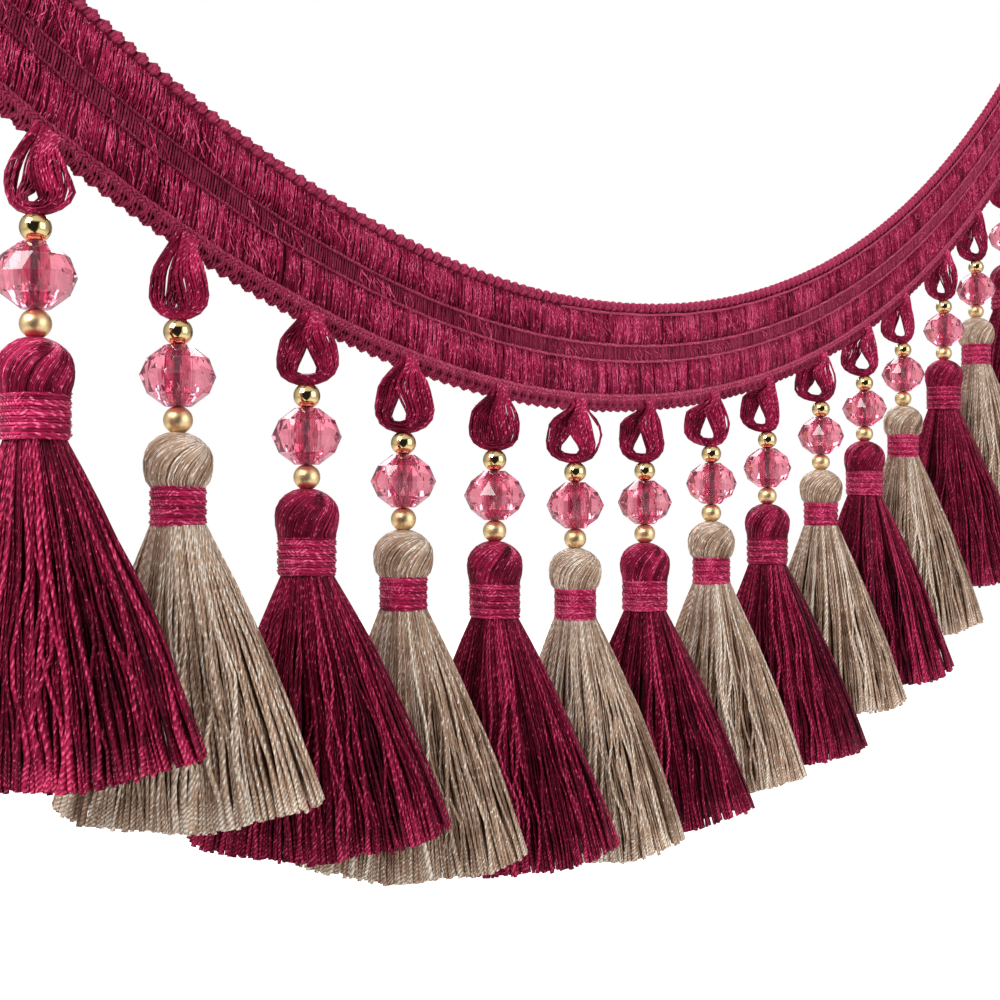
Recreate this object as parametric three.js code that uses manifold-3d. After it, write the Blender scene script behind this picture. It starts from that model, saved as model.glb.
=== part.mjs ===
// A length of beaded tassel fringe trim, hung in a swag: a flat gimp braid with a row of yarn loops
// along its lower edge, each carrying a string of beads and a tassel.
// Millimetres. +X runs along the braid, +Z up, and its face looks along -Y. The origin is the lowest
// point of the braid's top edge, in the middle of its thickness.
import * as THREE from 'three';
import * as BufferGeometryUtils from 'three/addons/utils/BufferGeometryUtils.js';
import Module from 'manifold-3d';

const wasm = await Module();
wasm.setup();

// Driving dimensions
const gap = 0.3; // between neighbouring pieces
const row = { pendants: 15, pitch: 26.47, lowest: 6, margin: 0.5 }; // lowest: where the swag hangs lowest
const swag = { leftRun: 229, rightRun: 286 }; // catenary constants of the two sides
const facing = THREE.MathUtils.degToRad(-47.4); // the loops and skirts are turned this far from the braid
const braid = { width: 25.5, seam: 22.4, stepsPerPitch: 2 }; // seam: where the loop edge parts from the tape
const yarnLoop = {
  width: 10.8,
  drop: 10.8,
  root: 3.2, // between the two ends in the braid's edge
  bury: 1.0,
  neck: 2.2,
  thin: 1.7, // at the bottom, where the bead hangs
  depth: 3.0,
  bottomDepth: 4.0,
  stations: 12,
  sides: 5,
};
const slopeReach = 3.0; // how much lower a pendant hangs where the edge climbs at 45 degrees
const bead = { radius: 2.5, squash: 0.96, apart: 15, thread: 0.75, sides: 8 };
const crystal = { radius: 6.5, height: 9.3, girdle: 0.9, collar: 2.7, bore: 1.05, sides: 8 };
const cut = { radius: 0.8, height: 0.27 }; // where the facets bend, as shares of the crystal's sizes
const head = {
  radius: 5.9,
  height: 8.6,
  flatness: 0.54, // the ball's half height as a share of the head's height
  neck: 7.2,
  neckRadius: 5.5,
  neckTop: 4.7,
  shoulder: 0.6,
  coreRadius: 3.5,
  wrapRadius: 4.8,
  foot: 4.9,
  sides: 8,
};
const skirt = {
  halfDepth: 7.8,
  bulge: 0.22,
  root: 1.1, // thickness of the disc that the locks grow from
  uneven: 0.7,
};
const skirtKinds = {
  raspberry: { length: 51.6, halfWidth: 23.8, lean: 2.6 },
  taupe: { length: 50.2, halfWidth: 22.6, lean: 2.2 },
};
const outerLocks = {
  count: 12,
  reach: 1,
  rootRadius: 4.0,
  rootWidth: 1.6,
  rootDepth: 1.1,
  fill: 0.8,
  depth: 2.8,
  stations: [0, 0.42, 1],
};
const innerLocks = {
  count: 5,
  reach: 0.44,
  rootRadius: 1.5,
  rootWidth: 1.1,
  rootDepth: 0.8,
  fill: 0.62,
  depth: 3.0,
  stations: [0, 1],
};

// How open each loop hangs, how far it leans to the right, how far its pendant sits from its even place
// along the braid, and how much lower it hangs than the others, in millimetres
const pendantForms = [
  { opening: 3.0, lean: 0.5, shift: -0.1, low: 0.3 },
  { opening: 1.2, lean: 0.0, shift: -0.3, low: 1.0 },
  { opening: 3.4, lean: 0.2, shift: 1.3, low: -0.3 },
  { opening: 2.6, lean: 0.0, shift: -0.7, low: 1.2 },
  { opening: 1.0, lean: 0.0, shift: -0.7, low: -0.3 },
  { opening: 3.2, lean: 0.4, shift: -0.5, low: 0.4 },
  { opening: 2.8, lean: 0.0, shift: -0.9, low: 0.8 },
  { opening: 3.4, lean: -0.2, shift: 0.7, low: -0.4 },
  { opening: 2.6, lean: 0.0, shift: 0.7, low: 0.9 },
  { opening: 3.2, lean: 0.2, shift: 2.4, low: -0.1 },
  { opening: 2.8, lean: 0.0, shift: 1.3, low: 1.0 },
  { opening: 2.0, lean: 0.3, shift: -0.7, low: 1.0 },
  { opening: 2.4, lean: 0.0, shift: 1.2, low: 1.0 },
  { opening: 3.0, lean: 0.0, shift: -0.9, low: 1.4 },
  { opening: 2.6, lean: 0.2, shift: -1.6, low: -0.4 },
];

// The loop's centre line on one side: shares of its half width and of its drop
const loopRoute = [
  { across: 0.55, down: 0.22 },
  { across: 1.0, down: 0.6 },
  { across: 0.6, down: 0.88 },
];

// Degrees from the top of a tassel's ball to the rings of its outline, and shares of a gold bead's arc
const ballRings = [0, 35, 65, 95, 125];
const beadRings = [0, 0.33, 0.67, 1];

// Half the tape's thickness at distances from its top edge: three float bands between the chain lines
const tapeSection = [
  { down: 0.0, half: 0.5 },
  { down: 0.9, half: 0.95 },
  { down: 2.0, half: 0.75 },
  { down: 4.0, half: 1.2 },
  { down: 8.3, half: 1.2 },
  { down: 10.0, half: 0.75 },
  { down: 11.9, half: 1.0 },
  { down: 13.7, half: 0.75 },
  { down: 15.8, half: 1.2 },
  { down: 20.4, half: 1.2 },
  { down: braid.seam - gap / 2, half: 0.8 },
];
const loopEdgeSection = [
  { down: braid.seam + gap / 2, half: 0.8 },
  { down: 24.2, half: 0.95 },
  { down: braid.width, half: 0.5 },
];

const finish = {
  raspberryYarn: { color: 0x8f1a48, roughness: 0.55, metalness: 0 },
  taupeYarn: { color: 0xb4a590, roughness: 0.55, metalness: 0 },
  braidYarn: { color: 0x8a1c46, roughness: 0.6, metalness: 0 },
  gold: { color: 0xdcb878, roughness: 0.25, metalness: 1 },
  pinkGlass: { color: 0xe27f98, roughness: 0.05, metalness: 0 },
};

// The swag

const edgeHeight = (x) => {
  const run = x < 0 ? swag.leftRun : swag.rightRun;
  return run * (Math.cosh(x / run) - 1);
};
const edgeSlope = (x) => Math.sinh(x / (x < 0 ? swag.leftRun : swag.rightRun));
const pendantX = (number) => (number - row.lowest) * row.pitch;

class TopEdge extends THREE.Curve {
  constructor() {
    super();
    this.start = pendantX(1 - row.margin);
    this.end = pendantX(row.pendants + row.margin);
  }

  getPoint(t, target = new THREE.Vector3()) {
    const x = THREE.MathUtils.lerp(this.start, this.end, t);
    return target.set(x, 0, edgeHeight(x));
  }
}

// Height of the braid's lower edge at x: the point of the top edge that lies square above it is found first
const lowerEdgeHeight = (x) => {
  let above = x;
  for (let round = 0; round < 20; round += 1) {
    above = x - (braid.width * edgeSlope(above)) / Math.hypot(1, edgeSlope(above));
  }
  return edgeHeight(above) - braid.width / Math.hypot(1, edgeSlope(above));
};

// Helpers for closed bodies

const asSolid = (geometry) => {
  const bare = new THREE.BufferGeometry();
  bare.setAttribute('position', geometry.getAttribute('position'));
  if (geometry.index) bare.setIndex(geometry.index);
  const merged = BufferGeometryUtils.mergeVertices(bare, 1e-4);
  const position = merged.getAttribute('position');
  return new wasm.Manifold(new wasm.Mesh({
    numProp: 3,
    vertProperties: new Float32Array(position.array),
    triVerts: new Uint32Array(merged.index.array),
  }));
};

const asGeometry = (solid) => {
  const mesh = solid.getMesh();
  const geometry = new THREE.BufferGeometry();
  geometry.setAttribute('position', new THREE.BufferAttribute(new Float32Array(mesh.vertProperties), 3));
  geometry.setIndex(new THREE.BufferAttribute(new Uint32Array(mesh.triVerts), 1));
  return geometry;
};

// A closed body through rings of points. The rings turn counter-clockwise seen from the first ring's outside
const loft = (rings) => {
  const around = rings[0].length;
  const geometry = new THREE.BufferGeometry().setFromPoints(rings.flat());
  const index = [];
  for (let ring = 0; ring < rings.length - 1; ring += 1) {
    for (let side = 0; side < around; side += 1) {
      const a = ring * around + side;
      const b = ring * around + ((side + 1) % around);
      index.push(a, a + around, b, b, a + around, b + around);
    }
  }
  const last = (rings.length - 1) * around;
  for (let side = 1; side < around - 1; side += 1) {
    index.push(0, side, side + 1, last, last + side + 1, last + side);
  }
  geometry.setIndex(index);
  return geometry;
};

const turned = (geometry, x, z) => geometry.rotateZ(facing).translate(x, 0, z);

// Braid: its section is swept along the top edge. Across the section, x is the thickness and y runs down

const bandGeometry = (section) => {
  const front = section.map(({ down, half }) => new THREE.Vector2(half, down));
  const back = section.map(({ down, half }) => new THREE.Vector2(-half, down)).reverse();
  const steps = (row.pendants - 1 + 2 * row.margin) * braid.stepsPerPitch;
  return new THREE.ExtrudeGeometry(new THREE.Shape([...front, ...back]), {
    steps,
    extrudePath: new TopEdge(),
    bevelEnabled: false,
  });
};

// One loop as a flat skein: from its left root in the braid's edge, round the bottom and back up

const loopGeometry = (x, edgeZ, bottomZ, form) => {
  const skein = (yarnLoop.width - form.opening) / 2;
  const wide = (yarnLoop.width - skein) / 2;
  const drop = edgeZ - bottomZ;
  const upright = new THREE.Vector3(0, 1, 0);
  const rootHeight = (side) => {
    const rootX = x + side * (yarnLoop.root / 2) * Math.cos(facing);
    return lowerEdgeHeight(rootX) + yarnLoop.bury - edgeZ;
  };
  const flankPoints = (side) => loopRoute.map(({ across, down }) => (
    new THREE.Vector3(side * across * wide + form.lean, 0, -down * drop)
  ));
  const route = new THREE.CatmullRomCurve3([
    new THREE.Vector3(-yarnLoop.root / 2, 0, rootHeight(-1)),
    ...flankPoints(-1),
    new THREE.Vector3(0, 0, yarnLoop.thin / 2 - drop),
    ...flankPoints(1).reverse(),
    new THREE.Vector3(yarnLoop.root / 2, 0, rootHeight(1)),
  ]);
  const { stations, sides } = yarnLoop;
  const rings = [];
  for (let station = 0; station <= stations; station += 1) {
    const t = station / stations;
    const at = route.getPoint(t);
    const across = new THREE.Vector3().crossVectors(route.getTangent(t), upright);
    const belly = Math.sin(Math.PI * t) ** 2; // 0 at the roots, 1 at the bottom
    const flank = Math.sin(2 * Math.PI * t) ** 2; // 1 at the two sides
    const narrow = THREE.MathUtils.lerp(yarnLoop.neck, yarnLoop.thin, belly);
    const inPlane = THREE.MathUtils.lerp(narrow, skein, flank);
    const deep = THREE.MathUtils.lerp(yarnLoop.depth, yarnLoop.bottomDepth, belly);
    const ring = [];
    for (let side = 0; side < sides; side += 1) {
      const angle = (2 * Math.PI * side) / sides;
      ring.push(at.clone()
        .addScaledVector(across, (inPlane / 2) * Math.cos(angle))
        .addScaledVector(upright, (deep / 2) * Math.sin(angle)));
    }
    rings.push(ring);
  }
  return turned(loft(rings), x, edgeZ);
};

// Beads on their thread, from the top of the upper bead at z = 0

const beadStringGeometry = () => {
  const { radius, squash, apart, thread } = bead;
  const neck = Math.asin(thread / radius);
  const arc = (centre, from, to) => beadRings.map((share) => {
    const angle = THREE.MathUtils.lerp(from, to, share);
    return new THREE.Vector2(radius * Math.sin(angle), centre + radius * squash * Math.cos(angle));
  });
  const top = -radius * squash;
  const profile = [
    ...arc(top, 0, Math.PI - neck),
    ...arc(top - apart, neck, Math.PI),
  ];
  profile[0].x = 0;
  profile[profile.length - 1].x = 0;
  return new THREE.LatheGeometry(profile.reverse(), bead.sides).rotateX(Math.PI / 2);
};

// A bored rondelle, its middle at z = 0

const crystalGeometry = () => {
  const { radius, height, girdle, collar, bore } = crystal;
  const profile = [
    new THREE.Vector2(bore, -height / 2),
    new THREE.Vector2(collar, -height / 2),
    new THREE.Vector2(cut.radius * radius, -cut.height * height),
    new THREE.Vector2(radius, -girdle / 2),
    new THREE.Vector2(radius, girdle / 2),
    new THREE.Vector2(cut.radius * radius, cut.height * height),
    new THREE.Vector2(collar, height / 2),
    new THREE.Vector2(bore, height / 2),
    new THREE.Vector2(bore, -height / 2),
  ];
  return new THREE.LatheGeometry(profile, crystal.sides).rotateX(Math.PI / 2);
};

// Tassel, from the top of its head at z = 0. The neck is bound in its own yarn, or left slim for a wrap

const headGeometry = (wrapped) => {
  const ball = ballRings.map((degrees) => {
    const angle = THREE.MathUtils.degToRad(degrees);
    const halfHeight = head.flatness * head.height;
    return new THREE.Vector2(head.radius * Math.sin(angle), halfHeight * (Math.cos(angle) - 1));
  });
  const neckTop = -head.height;
  const neckFoot = neckTop - head.neck;
  const bound = wrapped ? head.coreRadius : head.neckRadius;
  const profile = [
    ...ball,
    new THREE.Vector2(Math.min(bound, head.neckTop), neckTop),
    new THREE.Vector2(bound, neckTop - head.shoulder),
    new THREE.Vector2(bound, neckFoot),
    new THREE.Vector2(head.foot, neckFoot),
    new THREE.Vector2(head.foot, neckFoot - skirt.root),
    new THREE.Vector2(0, neckFoot - skirt.root),
  ];
  return new THREE.LatheGeometry(profile.reverse(), head.sides).rotateX(Math.PI / 2);
};

// Three-sided locks of cut yarn around an oval. Strands are nearly equally long, so the hem is an arc
const lockWander = 2.4; // steps, in radians, of the unevenness from lock to lock and from tassel to tassel
const tasselWander = 1.7;
const lockGeometries = (ring, kind, number) => {
  const rootZ = -head.height - head.neck - skirt.root;
  const halfWidth = kind.halfWidth * ring.reach;
  const halfDepth = skirt.halfDepth * ring.reach;
  const oval = new THREE.EllipseCurve(0, 0, halfWidth, halfDepth);
  const width = (oval.getLength() / ring.count) * ring.fill;
  const locks = [];
  for (let lock = 0; lock < ring.count; lock += 1) {
    const share = (lock + 0.5) / ring.count;
    const around = 2 * Math.PI * share;
    const root = new THREE.Vector3(Math.cos(around), Math.sin(around), 0)
      .multiplyScalar(ring.rootRadius).setZ(rootZ);
    const onOval = oval.getPointAt(share);
    const tangent = oval.getTangentAt(share);
    const uneven = Math.sin(lockWander * lock + tasselWander * number);
    const spread = Math.hypot(onOval.x - root.x + kind.lean, onOval.y - root.y);
    const length = kind.length + skirt.uneven * uneven;
    const hem = new THREE.Vector3(
      onOval.x + kind.lean * ring.reach,
      onOval.y,
      rootZ - Math.sqrt(length ** 2 - spread ** 2),
    );
    const rings = ring.stations.map((down) => {
      const bulge = skirt.bulge * down * (1 - down);
      const at = root.clone().lerp(hem, down);
      at.x += (hem.x - root.x) * bulge;
      at.y += (hem.y - root.y) * bulge;
      const sideways = new THREE.Vector3(-Math.sin(around), Math.cos(around), 0)
        .lerp(new THREE.Vector3(tangent.x, tangent.y, 0), down).normalize();
      const outward = new THREE.Vector3(sideways.y, -sideways.x, 0);
      const half = THREE.MathUtils.lerp(ring.rootWidth, width, down) / 2;
      const deep = THREE.MathUtils.lerp(ring.rootDepth, ring.depth, down) / 2;
      return [
        at.clone().addScaledVector(outward, -deep),
        at.clone().addScaledVector(outward, deep).addScaledVector(sideways, -half),
        at.clone().addScaledVector(outward, deep).addScaledVector(sideways, half),
      ];
    });
    const buried = rings[0].map((point) => point.clone().setZ(rootZ + skirt.root / 2));
    locks.push(loft([buried, ...rings]));
  }
  return locks;
};

const tasselGeometry = (number, wrapped) => {
  const kind = wrapped ? skirtKinds.taupe : skirtKinds.raspberry;
  let solid = asSolid(headGeometry(wrapped));
  for (const ring of [outerLocks, innerLocks]) {
    for (const lock of lockGeometries(ring, kind, number)) solid = solid.add(asSolid(lock));
  }
  return asGeometry(solid);
};

const neckWrapGeometry = () => {
  const inner = head.coreRadius + gap;
  const top = -head.height - gap;
  const foot = -head.height - head.neck + gap;
  const profile = [
    new THREE.Vector2(inner, foot),
    new THREE.Vector2(head.wrapRadius, foot),
    new THREE.Vector2(head.wrapRadius, top),
    new THREE.Vector2(inner, top),
    new THREE.Vector2(inner, foot),
  ];
  return new THREE.LatheGeometry(profile, head.sides).rotateX(Math.PI / 2);
};

// Assembly

const trim = new THREE.Group();
const addPiece = (name, geometry, material) => {
  const mesh = new THREE.Mesh(geometry, new THREE.MeshStandardMaterial(material));
  mesh.name = name;
  trim.add(mesh);
};

addPiece('braid_tape', bandGeometry(tapeSection), finish.braidYarn);

let loopEdge = asSolid(bandGeometry(loopEdgeSection));
for (let number = 1; number <= row.pendants; number += 1) {
  const form = pendantForms[number - 1];
  const x = pendantX(number) + form.shift;
  const label = String(number).padStart(2, '0');
  const wrapped = number % 2 === 0;
  const edgeZ = lowerEdgeHeight(x);
  const loopBottom = edgeZ - yarnLoop.drop - form.low - slopeReach * edgeSlope(x) ** 3;
  loopEdge = loopEdge.add(asSolid(loopGeometry(x, edgeZ, loopBottom, form)));

  const beadTop = loopBottom - gap;
  const beadBottom = beadTop - 2 * bead.radius * bead.squash - bead.apart;
  const tasselTop = beadBottom - gap;
  const tasselYarn = wrapped ? finish.taupeYarn : finish.raspberryYarn;
  addPiece(`bead_string_${label}`, turned(beadStringGeometry(), x, beadTop), finish.gold);
  addPiece(`crystal_${label}`, turned(crystalGeometry(), x, (beadTop + beadBottom) / 2), finish.pinkGlass);
  addPiece(`tassel_${label}`, turned(tasselGeometry(number, wrapped), x, tasselTop), tasselYarn);
  if (wrapped) addPiece(`neck_wrap_${label}`, turned(neckWrapGeometry(), x, tasselTop), finish.raspberryYarn);
}
addPiece('loop_edge', asGeometry(loopEdge), finish.braidYarn);

export default trim;
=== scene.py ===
import math

import bmesh
import bpy
import numpy as np
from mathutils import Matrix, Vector


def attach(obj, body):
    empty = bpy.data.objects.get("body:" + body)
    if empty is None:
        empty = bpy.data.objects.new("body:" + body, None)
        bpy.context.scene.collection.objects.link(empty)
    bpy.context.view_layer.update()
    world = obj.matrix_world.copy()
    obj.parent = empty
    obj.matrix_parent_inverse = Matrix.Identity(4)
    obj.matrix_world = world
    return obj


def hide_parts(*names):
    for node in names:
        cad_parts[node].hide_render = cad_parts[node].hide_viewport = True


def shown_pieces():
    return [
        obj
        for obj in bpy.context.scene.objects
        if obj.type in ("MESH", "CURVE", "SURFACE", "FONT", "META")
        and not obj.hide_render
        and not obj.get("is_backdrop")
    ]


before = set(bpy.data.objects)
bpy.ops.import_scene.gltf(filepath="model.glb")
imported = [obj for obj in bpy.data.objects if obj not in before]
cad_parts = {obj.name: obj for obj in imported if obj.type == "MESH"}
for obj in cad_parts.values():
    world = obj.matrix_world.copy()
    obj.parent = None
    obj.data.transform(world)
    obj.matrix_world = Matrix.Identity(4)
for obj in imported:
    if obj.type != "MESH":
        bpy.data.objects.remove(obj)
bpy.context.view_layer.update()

millimetre = 0.001
scene = bpy.context.scene

# The row of pendants and the swag of the braid, as in the part's source, in millimetres
row = {"pendants": 15, "pitch": 26.47, "lowest": 6, "margin": 0.5}
swag = {"leftRun": 229.0, "rightRun": 286.0, "slopeReach": 3.0}
hangs = {"shift": [-0.1, -0.3, 1.3, -0.7, -0.7, -0.5, -0.9, 0.7, 0.7, 2.4, 1.3, -0.7, 1.2, -0.9, -1.6],
         "low": [0.3, 1.0, -0.3, 1.2, -0.3, 0.4, 0.8, -0.4, 0.9, -0.1, 1.0, 1.0, 1.0, 1.4, -0.4],
         "loopDrop": 10.8, "gap": 0.3, "beadHeight": 4.8, "beadsApart": 15.0}
facing = math.radians(-47.4)  # loops and skirts are turned this far from the braid
braidWidth = 25.5
labels = [f"{number:02d}" for number in range(1, row["pendants"] + 1)]


def runAt(x):
    return np.where(np.asarray(x) < 0, swag["leftRun"], swag["rightRun"])


def edgeHeight(x):
    return runAt(x) * (np.cosh(x / runAt(x)) - 1)


def edgeSlope(x):
    return np.sinh(x / runAt(x))


def slopeShare(x):
    return edgeSlope(x) / np.sqrt(1 + edgeSlope(x) ** 2)


def bandPoint(x, down, depth):
    # a point of the braid: x runs along its top edge, down runs square to it, depth is towards the back
    steep = np.sqrt(1 + edgeSlope(x) ** 2)
    parts = np.broadcast_arrays(x + down * edgeSlope(x) / steep, depth, edgeHeight(x) - down / steep)
    return np.stack(parts, axis=-1)


def aboveEdge(x):
    # where the top edge is above a place on the lower edge
    above = x
    for step in range(20):
        above = x - braidWidth * slopeShare(above)
    return above


def pendantX(number):
    return (number - row["lowest"]) * row["pitch"]


startX = pendantX(1 - row["margin"])
endX = pendantX(row["pendants"] + row["margin"])


def alongBraid(spacing):
    # places along the top edge, evenly spaced in cloth and not in plan
    fine = np.linspace(startX, endX, 4001)
    run = np.concatenate([[0], np.cumsum(np.hypot(np.diff(fine), np.diff(edgeHeight(fine))))])
    count = int(run[-1] / spacing)
    return np.interp((np.arange(count) + 0.5) / count * run[-1], run, fine)


def turned(points, x, z):
    # from a pendant's own axes to the row frame: its own x is to the right as its face is seen
    c, s = math.cos(facing), math.sin(facing)
    px, py, pz = points[..., 0], points[..., 1], points[..., 2]
    return np.stack([px * c - py * s + x, px * s + py * c, pz + z], axis=-1)


def hangPlaces(number):
    x = pendantX(number) + hangs["shift"][number - 1]
    edge = float(bandPoint(aboveEdge(x), braidWidth, 0.0)[2])
    slopeDrop = swag["slopeReach"] * float(edgeSlope(x)) ** 3
    loopBottom = edge - hangs["loopDrop"] - hangs["low"][number - 1] - slopeDrop
    beadTop = loopBottom - hangs["gap"]
    beadFoot = beadTop - hangs["beadHeight"] - hangs["beadsApart"]
    return {"x": x, "edge": edge, "loop": loopBottom, "beads": beadTop,
            "crystal": (beadTop + beadFoot) / 2, "tassel": beadFoot - hangs["gap"]}


places = [hangPlaces(number) for number in range(1, row["pendants"] + 1)]


# Meshes and joining
def newPiece(name, data):
    piece = bpy.data.objects.new(name, data)
    scene.collection.objects.link(piece)
    return piece


def meshPiece(name, points, faces, material, smooth=True):
    mesh = bpy.data.meshes.new(name)
    mesh.from_pydata([tuple(p * millimetre) for p in points], [], faces)
    mesh.update()
    mesh.polygons.foreach_set("use_smooth", [smooth] * len(mesh.polygons))
    mesh.materials.append(material)
    return newPiece(name, mesh)


def barePaths(name, points, edges, values):
    # points and edges alone, with named values at the points, for a tree to build on
    mesh = bpy.data.meshes.new(name)
    mesh.vertices.add(len(points))
    mesh.vertices.foreach_set("co", (points * millimetre).astype(np.float32).ravel())
    mesh.edges.add(len(edges))
    mesh.edges.foreach_set("vertices", np.asarray(edges, np.int32).ravel())
    for label, value in values.items():
        mesh.attributes.new(label, "FLOAT", "POINT").data.foreach_set("value", value.astype(np.float32))
    mesh.update()
    return newPiece(name, mesh)


def joined(pieces):
    bpy.ops.object.select_all(action="DESELECT")
    for piece in pieces:
        piece.select_set(True)
    bpy.context.view_layer.objects.active = pieces[0]
    bpy.ops.object.join()
    return pieces[0]


def tubeFaces(steps, around):
    # four-sided faces between rings of points, ring after ring
    faces = []
    for step in range(steps):
        for side in range(around):
            a, b = step * around + side, step * around + (side + 1) % around
            faces.append((a, b, b + around, a + around))
    return faces


def lathed(outline, around, closed=True):
    # an outline turned round the upright axis
    points, faces, count = [], [], len(outline)
    for turn in range(around):
        a = 2 * math.pi * turn / around
        points += [(r * math.cos(a), r * math.sin(a), z) for r, z in outline]
        here, after = turn * count, (turn + 1) % around * count
        for k in range(count if closed else count - 1):
            j = (k + 1) % count
            faces.append((here + k, here + j, after + j, after + k))
    return np.array(points), faces


def manyForms(name, forms, material, smooth):
    # several forms of points and faces in one piece, closed where points meet, normals outward
    points, faces, base = [], [], 0
    for formPoints, formFaces in forms:
        points.append(formPoints)
        faces += [tuple(base + k for k in face) for face in formFaces]
        base += len(formPoints)
    piece = meshPiece(name, np.concatenate(points), faces, material, smooth)
    shape = bmesh.new()
    shape.from_mesh(piece.data)
    bmesh.ops.remove_doubles(shape, verts=shape.verts, dist=1e-7)
    bmesh.ops.recalc_face_normals(shape, faces=shape.faces)
    shape.to_mesh(piece.data)
    shape.free()
    return piece


# Nodes
def setInputs(tree, node, values):
    # a value is a plain one, a node's output to link, or a node whose first output is meant
    for label, value in values.items():
        if isinstance(value, bpy.types.Node):
            value = value.outputs[0]
        if isinstance(value, bpy.types.NodeSocket):
            tree.links.new(value, node.inputs[label])
        else:
            node.inputs[label].default_value = value


def addNode(tree, kind, values=None, **settings):
    node = tree.nodes.new(kind)
    for label, value in settings.items():
        setattr(node, label, value)
    setInputs(tree, node, values or {})
    return node


def mathNode(tree, operation, *values):
    return addNode(tree, "ShaderNodeMath", dict(enumerate(values)), operation=operation)


def vectorNode(tree, operation, *values):
    keys = (0, "Scale") if operation == "SCALE" else (0, 1)
    return addNode(tree, "ShaderNodeVectorMath", dict(zip(keys, values)), operation=operation)


def dotNode(tree, first, second):
    return vectorNode(tree, "DOT_PRODUCT", first, second).outputs["Value"]


def rangeNode(tree, value, low, high, start=0.0, end=1.0):
    # low at start, high at end
    return addNode(tree, "ShaderNodeMapRange", {
        "Value": value, "From Min": start, "From Max": end, "To Min": low, "To Max": high})


def attributeNode(tree, label):
    kind = "GeometryNodeInputNamedAttribute"
    return addNode(tree, kind, {"Name": label}, data_type="FLOAT").outputs["Attribute"]


def storeNode(tree, geometry, label, value, dataType):
    values = {"Geometry": geometry, "Name": label, "Value": value}
    return addNode(tree, "GeometryNodeStoreNamedAttribute", values, data_type=dataType, domain="POINT")


def newTree(name, inputs):
    tree = bpy.data.node_groups.new(name, "GeometryNodeTree")
    tree.interface.new_socket("Geometry", in_out="OUTPUT", socket_type="NodeSocketGeometry")
    tree.interface.new_socket("Geometry", in_out="INPUT", socket_type="NodeSocketGeometry")
    for label, kind, value in inputs:
        socket = tree.interface.new_socket(label, in_out="INPUT", socket_type="NodeSocket" + kind)
        if value is not None:
            socket.default_value = value
    return tree, tree.nodes.new("NodeGroupInput").outputs


def finishTree(tree, given, geometry):
    real = addNode(tree, "GeometryNodeRealizeInstances", {"Geometry": geometry})
    dyed = addNode(tree, "GeometryNodeSetMaterial", {"Geometry": real, "Material": given["Yarn"]})
    addNode(tree, "NodeGroupOutput", {"Geometry": dyed})
    return tree


def runTree(piece, tree, values):
    # builds the tree's mesh from the piece and keeps it as the piece's own
    modifier = piece.modifiers.new(tree.name, "NODES")
    modifier.node_group = tree
    names = {item.name: item.identifier for item in tree.interface.items_tree if item.in_out == "INPUT"}
    for label, value in values.items():
        modifier[names[label]] = value
    bpy.context.view_layer.update()
    made = bpy.data.meshes.new_from_object(piece.evaluated_get(bpy.context.evaluated_depsgraph_get()))
    piece.modifiers.remove(modifier)
    bare = piece.data
    piece.data = made
    made.name = piece.name
    bpy.data.meshes.remove(bare)
    return piece


def seededNoise(tree, given, scale, detail):
    place = addNode(tree, "GeometryNodeInputPosition")
    values = {"Vector": place, "W": given["Seed"], "Scale": given[scale], "Detail": detail}
    return addNode(tree, "ShaderNodeTexNoise", values, noise_dimensions="4D")


def yarnTree():
    # sweeps a round yarn along every edge path and keeps where it is along and around, for the ply
    tree, given = newTree("spunYarn", [
        ("Sides", "Int", 4), ("Unevenness", "Float", 0.1), ("Wander", "Float", 0.0), ("Seed", "Int", 1),
        ("Wander Scale", "Float", 120.0), ("Lump Scale", "Float", 900.0), ("Yarn", "Material", None)])
    curve = addNode(tree, "GeometryNodeMeshToCurve", {"Mesh": given["Geometry"]})
    length = addNode(tree, "GeometryNodeSplineParameter").outputs["Length"]
    marked = storeNode(tree, curve, "along", length, "FLOAT")
    noise = seededNoise(tree, given, "Wander Scale", 1.0)
    centred = vectorNode(tree, "SUBTRACT", noise.outputs["Color"], (0.5, 0.5, 0.5))
    offset = vectorNode(tree, "SCALE", centred, given["Wander"])
    moved = addNode(tree, "GeometryNodeSetPosition", {"Geometry": marked, "Offset": offset})
    lumps = mathNode(tree, "SUBTRACT", seededNoise(tree, given, "Lump Scale", 0.0), 0.5)
    uneven = mathNode(tree, "MULTIPLY_ADD", lumps, given["Unevenness"], 1.0)
    width = mathNode(tree, "MULTIPLY", attributeNode(tree, "thick"), uneven)
    circle = addNode(tree, "GeometryNodeCurvePrimitiveCircle", {"Resolution": given["Sides"], "Radius": 1.0})
    place = addNode(tree, "GeometryNodeInputPosition")
    rim = storeNode(tree, circle, "around", place, "FLOAT_VECTOR")
    sweep = addNode(tree, "GeometryNodeCurveToMesh", {
        "Curve": moved, "Profile Curve": rim, "Scale": width, "Fill Caps": True})
    smooth = addNode(tree, "GeometryNodeSetShadeSmooth", {"Geometry": sweep, "Shade Smooth": True})
    return finishTree(tree, given, smooth)


spunYarn = yarnTree()


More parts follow.
